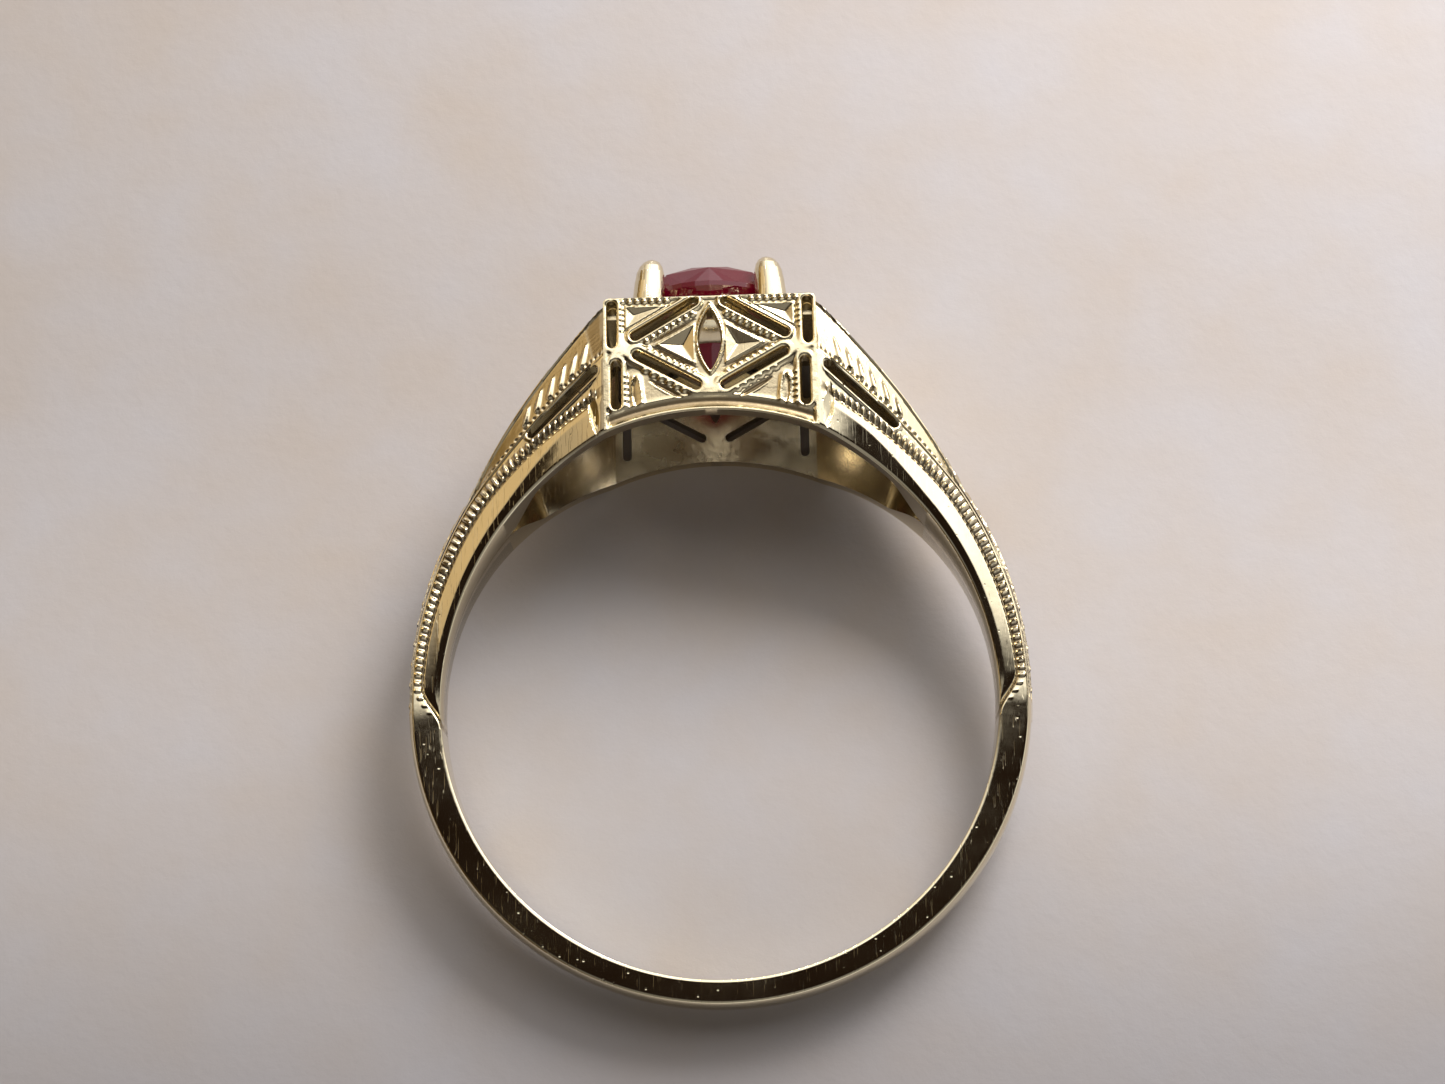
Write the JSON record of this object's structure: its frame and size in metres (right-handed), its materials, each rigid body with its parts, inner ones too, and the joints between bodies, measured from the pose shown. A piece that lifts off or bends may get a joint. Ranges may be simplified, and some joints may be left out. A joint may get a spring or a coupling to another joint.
{
  "type": "ring",
  "caption": "Filigree engagement ring in white gold, with a pierced hexagonal head, engraved shoulders and a round ruby held by claws.",
  "frame": {"origin": "middle of the finger hole, halfway along the finger", "axes": "+Z along the finger, towards the front gallery; +Y from the finger hole out through the stone; +X to the right of the stone"},
  "size_m": [0.0192, 0.0232, 0.0062],
  "materials": {
    "polished_white_gold": "polished 18 carat white gold, warm grey, fine scratches",
    "chased_white_gold": "die-struck and hand-chased 18 carat white gold, bright cuts and milgrain",
    "ruby": "faceted and polished dark red corundum"
  },
  "bodies": {
    "root": {"lower_shank": "polished_white_gold", "front_gallery": "chased_white_gold", "back_gallery": "chased_white_gold", "front_right_rail": "polished_white_gold", "front_left_rail": "polished_white_gold", "back_right_rail": "polished_white_gold", "back_left_rail": "polished_white_gold", "right_shoulder": "chased_white_gold", "left_shoulder": "chased_white_gold", "top_plate": "chased_white_gold", "stone_seat": "polished_white_gold", "front_right_prong": "polished_white_gold", "back_right_prong": "polished_white_gold", "back_left_prong": "polished_white_gold", "front_left_prong": "polished_white_gold", "ruby": "ruby"}
  },
  "joints": []
}
